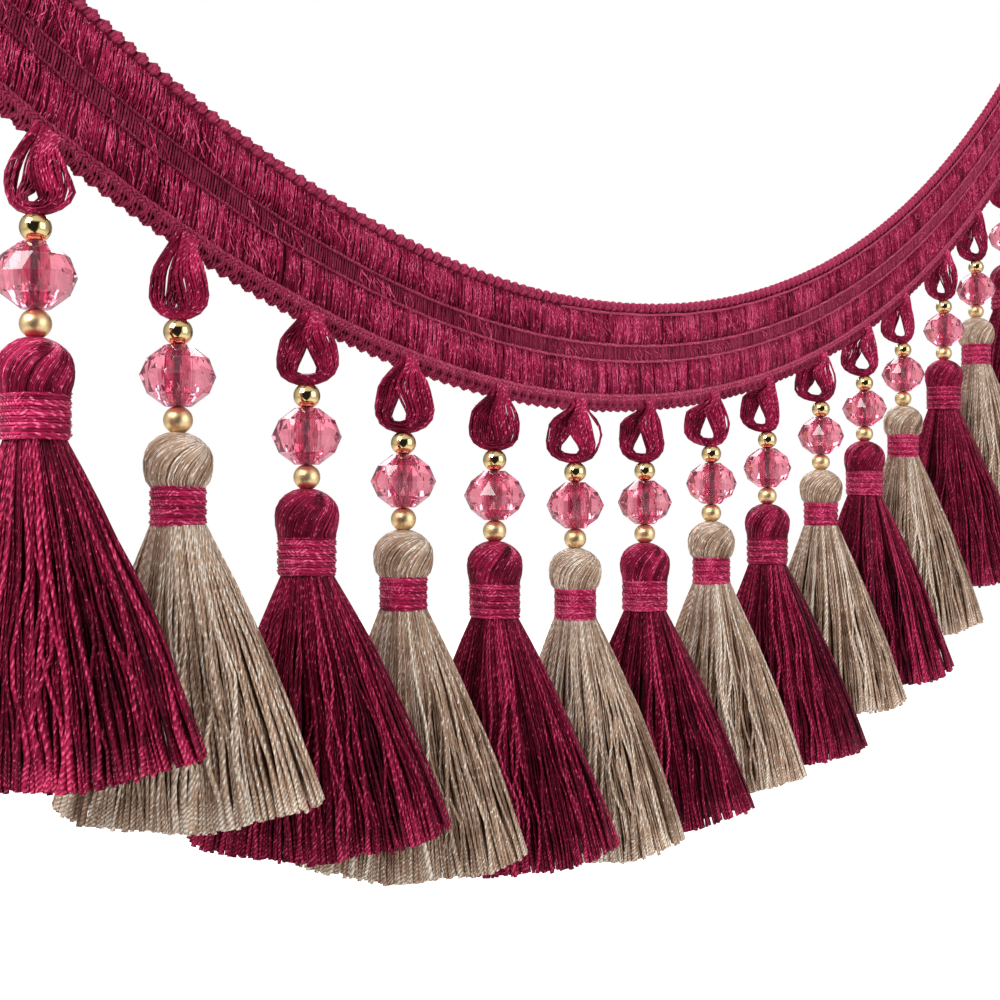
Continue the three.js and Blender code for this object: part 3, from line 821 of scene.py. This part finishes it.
def cutCrystal(turn):
    # a bored rondelle: kites round the table, then triangles that meet at the girdle
    n, half = crystal["facets"], crystal["half"]
    rings = [(crystal["bore"], half, 0.0), (crystal["table"], half, 0.0),
             (crystal["shoulder"], crystal["shoulderHeight"], 0.5), (crystal["radius"], 0.0, 0.0),
             (crystal["shoulder"], -crystal["shoulderHeight"], 0.5), (crystal["table"], -half, 0.0),
             (crystal["bore"], -half, 0.0), (crystal["belly"], -crystal["bellyHeight"], 0.0),
             (crystal["belly"], crystal["bellyHeight"], 0.0)]
    points, faces = [], []
    for radius, z, step in rings:
        angles = [2 * math.pi * (k + step) / n + turn for k in range(n)]
        points += [(radius * math.cos(a), radius * math.sin(a), z) for a in angles]
    for k in range(n):
        a = [level * n + k for level in range(len(rings))]
        b = [level * n + (k + 1) % n for level in range(len(rings))]
        faces += [(a[0], a[1], b[1], b[0]), (a[1], a[2], b[1]), (b[1], a[2], b[2]), (a[2], b[3], b[2]),
                  (a[2], a[3], b[3]), (a[3], a[4], b[3]), (b[3], a[4], b[4]), (a[4], a[5], b[5]),
                  (a[4], b[5], b[4])]
        faces += [(a[i], a[j], b[j], b[i]) for i, j in ((5, 6), (6, 7), (7, 8), (8, 0))]
    return np.array(points), faces


def boreTube():
    # a tube of deeper glass that lines a crystal's bore, fuller in its middle
    top, belly = crystal["half"], crystal["bellyHeight"]
    bore, wide = crystal["bore"] - lining["gap"], crystal["belly"] - lining["gap"]
    inner = lining["inner"]
    outline = [(bore, -top), (wide, -belly), (wide, belly), (bore, top), (inner, top), (inner, -top)]
    return lathed(outline, lining["sides"])


def strung(form, place, height):
    points, faces = form
    return turned(points, place["x"], height), faces


beadHalf = bead["radius"] * bead["squash"]
upperBeads = manyForms("upper_gold_beads", [
    strung(boredBall(), p, p["beads"] - beadHalf) for p in places], polishedGold, True)
lowerBeads = manyForms("lower_gold_beads", [
    strung(boredBall(), p, p["beads"] - beadHalf - hangs["beadsApart"]) for p in places], satinGold, True)
crystals = manyForms("crystal_rondelles", [
    strung(cutCrystal(crystal["spin"] * k), p, p["crystal"]) for k, p in enumerate(places)], pinkGlass, False)
# the bore's faces are the last three of each thirteen and have no tint of their own
crystals.data.materials.append(boreGlass)
for face in crystals.data.polygons:
    face.material_index = 1 if face.index % 13 > 9 else 0
linings = manyForms("crystal_linings", [
    strung(boreTube(), p, p["crystal"]) for p in places], boreLining, False)


def threadBatch():
    strands = []
    for p in places:
        height = np.linspace(p["beads"] + 0.9, p["tassel"] - 0.6, thread["stations"])
        for phase in (0, math.pi):
            turn = phase + np.arange(thread["stations"]) * thread["turn"]
            line = np.stack([thread["twist"] * np.cos(turn), thread["twist"] * np.sin(turn), height], axis=-1)
            strands.append(turned(line, p["x"], 0.0))
    return np.array(strands), thread["thick"], np.full(len(strands), 0.12)


threads = spin("bead_threads", [threadBatch()], raspberryYarn, sides=5, unevenness=0.1, seed=12)
print("beads done")

# Tassels: a ball of yarn drawn over a core, a bound neck and a flared skirt of cut yarn
head = {"radius": 5.9, "height": 8.6, "half": 4.64, "neck": 7.2, "neckRadius": 5.5, "coreRadius": 4.4,
        "wrapRadius": 4.8, "lowerHalf": 5.8, "fullness": 0.225, "threads": 120, "stations": 10, "thick": 0.43,
        "firstAngle": 5, "lastAngle": 122, "rise": 0.75, "swirl": 0.95,
        "tilt": {"taupe": 0.75, "raspberry": 0.5}, "tone": {"taupe": 0.57, "raspberry": 0.3},
        "slotAt": -66, "slotFrom": 14, "slotTo": 66, "slotPush": 0.1, "paintedSlotShade": 0.8}
skirt = {"outer": 244, "inner": 84, "stations": 11, "halfDepth": 7.8, "bulge": 0.22, "rootRadius": 4.6,
         "rootRise": 0.7, "thick": 0.66, "thickness": [0.64, 0.9, 1.08, 1.5], "locks": 48, "gather": 0.38,
         "loose": 0.22, "waves": ((0.8, 2.1), (0.1, 0.5)), "beats": ((0.8, 2.2), (1.5, 4.0)), "proud": 0.45,
         "looseProud": 0.7, "uneven": 0.24, "tone": 0.33, "lockTone": 0.15, "yarnTone": 0.1,
         "looseTone": 0.25, "paintedSheenAt": -80, "paintedSheenTone": 0.16, "trims": {
             1: 0.7, 2: -1.3, 3: -1.9, 5: -0.2, 6: 1.6, 7: -1.6, 10: 0.9, 11: 2.8, 12: 2.6, 13: 4.0, 14: 3.6,
             15: 3.6}}
shadeFill = {"share": 0.82, "steps": 6, "around": 24, "neck": 3.4, "shorter": 1.4, "sides": 3.0}
skirtKinds = {"raspberry": {"length": 53.4, "halfWidth": 24.2, "lean": 2.3},
              "taupe": {"length": 52.0, "halfWidth": 22.8, "lean": 1.7}}
binding = {"turns": 14, "stationsPerTurn": 20, "thick": 0.66, "crest": math.radians(253)}
rootHeight = -head["height"] - head["neck"] + skirt["rootRise"]


def ovalPlaces(share, halfWidth, halfDepth):
    # points evenly spread round an oval by their distance along it
    angle = np.linspace(0, 2 * np.pi, 721)
    line = np.stack([halfWidth * np.cos(angle), halfDepth * np.sin(angle)], axis=-1)
    run = np.concatenate([[0], np.cumsum(np.linalg.norm(np.diff(line, axis=0), axis=1))])
    at = (share % 1.0) * run[-1]
    return np.stack([np.interp(at, run, line[:, 0]), np.interp(at, run, line[:, 1])], axis=-1)


def fromAngle(angle, middle):
    # how far an angle is from another, the short way round
    return (angle - middle + np.pi) % (2 * np.pi) - np.pi


def skirtBatch(number, kind):
    rng = np.random.default_rng(500 + number)
    count = skirt["outer"] + skirt["inner"]
    order = np.arange(count)
    outer = order < skirt["outer"]
    inRing = np.where(outer, skirt["outer"], skirt["inner"])
    share = np.where(outer, order, order - skirt["outer"]) / inRing
    share = (share + rng.uniform(-0.3, 0.3, count) / inRing) % 1.0
    layer = np.where(outer, rng.uniform(0.94, 1.0, count), rng.uniform(0.86, 0.93, count))
    t = np.linspace(0, 1, skirt["stations"])[None, :]
    arch = np.sin(np.pi * t ** 1.2)
    # locks of uneven width draw together half way down, part, and stand at different depths
    ends = np.concatenate([[0], np.cumsum(rng.uniform(0.4, 1.6, skirt["locks"]))])
    ends /= ends[-1]
    lock = np.clip(np.searchsorted(ends, share) - 1, 0, skirt["locks"] - 1)
    drawn = rng.uniform(0.3, 1.2, skirt["locks"])[lock][:, None] * skirt["gather"]
    middle = ((ends[lock] + ends[lock + 1]) / 2)[:, None]
    lockTurn = rng.random(skirt["locks"])[lock][:, None] * 2 * np.pi
    sway = rng.normal(0, 0.005, skirt["locks"])[lock][:, None] * np.sin(2.6 * np.pi * t + lockTurn) * arch
    shareAlong = share[:, None] + (middle - share[:, None]) * drawn * arch + sway
    hemAlong = ovalPlaces(shareAlong, kind["halfWidth"], skirt["halfDepth"]) * layer[:, None, None]
    hemAlong[..., 0] += kind["lean"] * (0.4 + 0.6 * layer)[:, None]
    angle = 2 * np.pi * share
    out = np.stack([np.cos(angle), np.sin(angle)], axis=-1)
    root = skirt["rootRadius"] * (layer ** 1.2)[:, None] * out
    # each yarn has its own length, and spends some of it on the flare
    length = kind["length"] + skirt["trims"].get(number, 0.0) + rng.normal(0, skirt["uneven"], count)
    length = length + 0.35 * np.sin(10 * np.pi * share + number)
    foot = rootHeight - np.sqrt(length ** 2 - np.sum((hemAlong[:, -1, :] - root) ** 2, axis=1))
    flare = t + skirt["bulge"] * t * (1 - t) * (1.2 + 0.15 * rng.normal(size=(count, 1)))
    across = root[:, None, :] + (hemAlong - root[:, None, :]) * flare[..., None]
    # some yarns are loose and wave more than the others
    loose = outer & (rng.random(count) < skirt["loose"])
    wave, beat = (np.where(loose, rng.uniform(*most, count), rng.uniform(*least, count))[:, None]
                  for most, least in (skirt["waves"], skirt["beats"]))
    stray = wave * np.sin(2 * np.pi * (beat * t + rng.random((count, 1)))) * arch ** 0.8 * (0.3 + t)
    tangent = np.stack([-np.sin(angle) * kind["halfWidth"], np.cos(angle) * skirt["halfDepth"]], axis=-1)
    tangent /= np.linalg.norm(tangent, axis=1)[:, None]
    proud = rng.normal(0, skirt["proud"], skirt["locks"])[lock] + np.where(loose, skirt["looseProud"], 0.0)
    proud = proud[:, None] * arch
    clean = 0.25 + 0.75 * np.abs(np.sin(angle))[:, None, None]  # the sides keep a clean outline
    across = across + (stray[..., None] * tangent[:, None, :] + proud[..., None] * out[:, None, :]) * clean
    height = rootHeight + (foot - rootHeight)[:, None] * (t * (1 + 0.03 * (1 - t)))
    thick = np.interp(t, [0, 0.4, 0.85, 1], np.array(skirt["thickness"]) * skirt["thick"])
    thick = thick * rng.uniform(0.8, 1.15, (count, 1)) * np.where(loose, 1.25, 1.0)[:, None]
    tone = skirt["tone"] + rng.normal(0, skirt["lockTone"], skirt["locks"])[lock]
    tone = tone + rng.normal(0, skirt["yarnTone"], count)
    # painted light and shade: yarns of the inner layer are darker, and a painted sheen runs down the front
    paintedSheen = np.exp(-(fromAngle(angle, math.radians(skirt["paintedSheenAt"])) / 0.2) ** 2)
    tone = tone + np.where(loose, skirt["looseTone"], 0.0) - 0.3 * (1 - layer) + skirt["paintedSheenTone"] * paintedSheen
    shade = tone[:, None] + np.interp(t, [0, 0.15, 0.5, 0.93, 1.0], [0.16, 0.1, 0.0, 0.04, 0.3])
    return np.concatenate([across, height[..., None]], axis=-1), thick, np.clip(shade, 0, 1)


def paintedShadeFill(number, kind):
    # a body inside the skirt that nothing shows through; with no yarn values it takes the yarn material's
    # darkest colour, as painted shade between the strands
    points, around = [], shadeFill["around"]
    drop = kind["length"] + skirt["trims"].get(number, 0.0) - shadeFill["shorter"]
    for level in np.linspace(0, 1, shadeFill["steps"] + 1):
        flare = level + skirt["bulge"] * level * (1 - level) * 1.2
        wide = shadeFill["neck"] + (kind["halfWidth"] * shadeFill["share"] * 0.94 - shadeFill["neck"]) * flare
        deep = shadeFill["neck"] + (skirt["halfDepth"] * shadeFill["share"] - shadeFill["neck"]) * flare
        for turn in range(around):
            a = 2 * math.pi * turn / around
            sink = level * (drop - shadeFill["sides"] * math.cos(a) ** 2)
            x = wide * math.cos(a) + kind["lean"] * flare * 0.9
            points.append((x, deep * math.sin(a), rootHeight - sink))
    last = shadeFill["steps"] * around
    caps = [tuple(range(around)), tuple(range(last, last + around))]
    return np.array(points), tubeFaces(shadeFill["steps"], around) + caps


def headBatch(number, dye):
    # threads fan from a pole that leans to the right, sweep down the ball and go under the binding
    rng = np.random.default_rng(700 + number)
    count = head["threads"]
    start = 2 * np.pi * (np.arange(count) + rng.normal(0, 0.14, count)) / count
    down = np.radians(np.linspace(head["firstAngle"], head["lastAngle"], head["stations"]))[None, :]
    rest = (1 - down / down.max()) ** 1.1
    around = start[:, None] + head["swirl"] * rest + rng.normal(0, 0.008, (count, 1))
    dark = np.zeros((count, head["stations"]))
    if dye == "raspberry":  # its threads part a little over a slot darkened with painted shade, with a painted highlight beside it
        degrees = np.degrees(down)
        slot = np.clip((degrees - head["slotFrom"]) / 12, 0, 1)
        slot = slot * np.clip((head["slotTo"] - degrees) / 16, 0, 1)
        off = fromAngle(around, math.radians(head["slotAt"]))
        around = around + head["slotPush"] * np.tanh(off / 0.05) * np.exp(-(off / 0.45) ** 2) * slot
        dark = np.exp(-(off / 0.13) ** 2) - 0.5 * np.exp(-((off - 0.36) / 0.2) ** 2)
        dark = head["paintedSlotShade"] * dark * slot
    tilt = head["tilt"][dye] * rest
    x, y, z = np.sin(down) * np.cos(around), np.sin(down) * np.sin(around), np.cos(down) + 0 * around
    x, z = x * np.cos(tilt) + z * np.sin(tilt), z * np.cos(tilt) - x * np.sin(tilt)
    full = np.where(z < 0, (1 - z ** 2) ** -head["fullness"], 1.0)  # the ball is fuller below its middle
    height = np.where(z < 0, head["lowerHalf"] * z - head["half"], head["half"] * (z - 1))
    height = height + head["rise"] * np.clip(1 + z, 0, 2) / 2 - head["thick"] * 0.3
    radius = head["radius"] - head["thick"] * 0.4 + rng.uniform(-0.2, 0.06, (count, 1))
    points = np.stack([radius * full * x, radius * full * y, height], axis=-1)
    lastRadius = head["neckRadius"] - 0.35 if dye == "raspberry" else head["wrapRadius"] - 0.5
    last = np.stack([lastRadius * np.cos(around[:, -1]), lastRadius * np.sin(around[:, -1]),
                     np.full(count, -head["height"] - 0.3)], axis=-1)
    squeeze = np.append(np.clip(np.sin(down[0]) * 1.2, 0.3, 1.0), 0.8)
    thick = head["thick"] * squeeze * rng.uniform(0.9, 1.12, (count, 1))
    shade = (head["tone"][dye] + rng.normal(0, 0.2, count))[:, None]
    # painted light and shade: threads lighter on top of the ball and darker below it, and darker still where
    # they go under the binding
    shade = shade + np.append(0.18 * np.cos(down[0] * 1.4), -0.3)
    shade[:, :-1] -= dark
    return np.concatenate([points, last[:, None, :]], axis=1), thick, np.clip(shade, 0, 1)


def bindingBatch(number, radius):
    # one yarn wound down the neck, with a painted highlight: a bright line where its turns face the key light
    rng = np.random.default_rng(900 + number)
    turn = np.linspace(0, binding["turns"] * 2 * np.pi, binding["turns"] * binding["stationsPerTurn"])
    height = np.interp(turn, [0, turn[-1]], [-head["height"] + 0.4, -head["height"] - head["neck"] + 0.55])
    height = height + 0.09 * np.sin(turn + number) + 0.05 * np.sin(2.7 * turn)
    slow = np.sin(turn * 0.31 + number)
    bulge = radius - binding["thick"] / 2 + 0.1 * slow + 0.04 * np.sin(turn * 1.7)
    points = np.stack([bulge * np.cos(turn), bulge * np.sin(turn), height], axis=-1)
    # painted highlight: the turns are paler about the crest angle, where they face the key light
    crest = np.exp(-(fromAngle(turn, binding["crest"]) / 0.22) ** 2)
    shade = 0.44 + 0.2 * slow + 0.05 * rng.normal() + 0.3 * crest
    return points[None], binding["thick"], shade[None]


def coreForm(radius):
    # the ball and the neck that the yarn lies on, kept under its surface
    outline = [((head["radius"] - 0.55) * math.sin(a), (head["half"] - 0.2) * (math.cos(a) - 1) - 0.7)
               for a in np.radians(np.linspace(0, head["lastAngle"], 9))]
    foot = -head["height"] - head["neck"]
    outline += [(radius - 0.75, -head["height"] - 0.4), (radius - 0.75, foot + 0.2), (0.0, foot)]
    return lathed(outline, 20, closed=False)


def hung(batch, place):
    points, *rest = batch
    return turned(points, place["x"], place["tassel"]), *rest


tassels, neckWraps = [], []
for number, place in enumerate(places, 1):
    label = labels[number - 1]
    wrapped = number % 2 == 0
    dye = "taupe" if wrapped else "raspberry"
    kind = skirtKinds[dye]
    ballYarn, skirtYarn = (taupeYarn, taupeYarn) if wrapped else (braidYarn, raspberryYarn)
    wound = hung(bindingBatch(number, head["wrapRadius" if wrapped else "neckRadius"]), place)
    batches = [hung(headBatch(number, dye), place)] + ([] if wrapped else [wound])
    skein = spin(f"tassel_skein_{label}", batches, ballYarn, unevenness=0.2, wander=0.1, wanderScale=200.0,
                 seed=20 + number)
    cut = spin("cutYarn", [hung(skirtBatch(number, kind), place)], skirtYarn, sides=3, unevenness=0.3,
               wander=0.5, wanderScale=110.0, seed=60 + number)
    # the core and the fill have no yarn values, so the yarn material gives them its darkest colour as painted
    # shade
    forms = [coreForm(head["coreRadius" if wrapped else "neckRadius"]), paintedShadeFill(number, kind)]
    core = manyForms("core", [strung(form, place, place["tassel"]) for form in forms], skirtYarn, True)
    tassels.append(joined([skein, cut, core]))
    if wrapped:
        neckWraps.append(spin(f"neck_binding_{label}", [wound], braidYarn, sides=5, unevenness=0.2,
                              seed=40 + number))
print("tassels done")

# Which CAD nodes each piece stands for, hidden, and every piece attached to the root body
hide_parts("braid_tape")
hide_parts("loop_edge")
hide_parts(*[f"bead_string_{label}" for label in labels])
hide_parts(*[f"crystal_{label}" for label in labels])
for label, tassel in zip(labels, tassels):
    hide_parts(f"tassel_{label}")
for neckWrap in neckWraps:
    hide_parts(neckWrap.name.replace("neck_binding", "neck_wrap"))
onBraid = [*braidPieces, topSelvage, bottomSelvage, loops]
slots = {"braid_yarn": [braidCloth, *onBraid], "gold_bead": [upperBeads, lowerBeads],
         "pink_glass": [crystals, linings], "raspberry_yarn": [threads, *neckWraps, *tassels[0::2]],
         "taupe_yarn": tassels[1::2]}
for slotName, pieces in slots.items():
    for piece in pieces:
        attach(piece, "root")

# Stage: a pale sweep under and behind, and soft light from the upper left
stage = {"floor": -420, "reach": 3200, "glow": 0.2, "wedge": (0.3, 0.45), "middle": Vector((0.04, 0, -0.03))}
white = (1.0, 1.0, 1.0, 1.0)


def paleSweep():
    material, tree, shader = plainMaterial("paleSweep")
    place = addNode(tree, "ShaderNodeTexCoord").outputs["Object"]
    pale = rampNode(tree, noiseNode(tree, 3.0, 1.0), (0.9, 0.9, 0.9, 1.0), (0.93, 0.93, 0.93, 1.0))
    ray = addNode(tree, "ShaderNodeLightPath").outputs
    glassy = mathNode(tree, "MULTIPLY", ray["Is Transmission Ray"], 0.6)
    clear = mathNode(tree, "MAXIMUM", ray["Is Camera Ray"], glassy)
    glow = rangeNode(tree, clear, stage["glow"], 1.0)
    # mirrored, the floor in front is part of the room's dark opening
    sideways = mathNode(tree, "ABSOLUTE", dotNode(tree, place, tuple(lookRight)))
    wedge = mathNode(tree, "MULTIPLY_ADD", sideways, -1.1, dotNode(tree, place, tuple(-lookWay)))
    inside = rangeNode(tree, wedge, 0.0, 1.0, *stage["wedge"])
    opened = mathNode(tree, "MULTIPLY", inside, ray["Is Glossy Ray"])
    shut = mathNode(tree, "SUBTRACT", 1.0, opened)
    setInputs(tree, shader, {
        "Base Color": vectorNode(tree, "SCALE", pale, shut), "Roughness": 0.9, "Emission Color": white,
        "Emission Strength": mathNode(tree, "MULTIPLY", glow, shut)})
    size, height = stage["reach"], stage["floor"]
    corners = [(-size, -size, height), (size, -size, height), (size, size, height), (-size, size, height)]
    meshPiece("floor", np.array(corners), [(0, 1, 2, 3)], material)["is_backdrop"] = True


def softLight(name, ahead, right, up, size, power, tint):
    data = bpy.data.lights.new(name, "AREA")
    data.shape = "RECTANGLE"
    data.size, data.size_y = size
    data.energy = power
    data.color = tint
    lamp = newPiece(name, data)
    lamp.location = stage["middle"] + lookWay * ahead + lookRight * right + Vector((0, 0, up))
    lamp.rotation_euler = (stage["middle"] - lamp.location).to_track_quat("-Z", "Y").to_euler()


def studioWorld():
    # white to the eye; mirrored, it is a white room in front with one dark opening, and dimmer behind;
    # through the glass it is white straight ahead and darker to the sides
    scene.world = bpy.data.worlds.new("studio")
    scene.world.use_nodes = True
    tree = scene.world.node_tree
    way = addNode(tree, "ShaderNodeTexCoord").outputs["Generated"]
    ahead = dotNode(tree, way, tuple(-lookWay))
    sideways = mathNode(tree, "ABSOLUTE", dotNode(tree, way, tuple(lookRight)))
    level = mathNode(tree, "ABSOLUTE", dotNode(tree, way, (0.0, 0.0, 1.0)))
    narrow = rangeNode(tree, sideways, 1.0, 0.0, 0.6, 0.74)
    low = rangeNode(tree, level, 1.0, 0.0, 0.56, 0.7)
    front = rangeNode(tree, ahead, 0.0, 1.0, 0.1, 0.2)
    opening = mathNode(tree, "MULTIPLY", mathNode(tree, "MULTIPLY", narrow, low), front)
    mirrored = rangeNode(tree, opening, rangeNode(tree, ahead, 0.3, 0.95, -0.6, 0.5), 0.02)
    through = rangeNode(tree, mathNode(tree, "ABSOLUTE", ahead), 0.55, 1.0, 0.2, 0.95)
    ray = addNode(tree, "ShaderNodeLightPath").outputs
    lit = rangeNode(tree, ray["Is Glossy Ray"], 0.42, mirrored)
    glassy = rangeNode(tree, ray["Is Transmission Ray"], lit, through)
    strength = rangeNode(tree, ray["Is Camera Ray"], glassy, 1.0)
    setInputs(tree, tree.nodes["Background"], {"Color": white, "Strength": strength})


paleSweep()
softLight("keyLight", -0.55, -0.5, 0.55, (0.5, 0.5), 9.0, (1.0, 0.98, 0.96))
softLight("fillLight", -0.4, 0.75, 0.15, (0.6, 0.7), 2.6, (1.0, 1.0, 1.0))
softLight("backLight", 0.6, -0.2, 0.6, (0.6, 0.4), 4.0, (1.0, 1.0, 1.0))
studioWorld()
scene.view_settings.view_transform = "Standard"
print("stage done")

triangles = {p.name: sum(len(f.vertices) - 2 for f in p.data.polygons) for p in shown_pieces()}
print("triangles", sum(triangles.values()), "largest", max(triangles.values()))
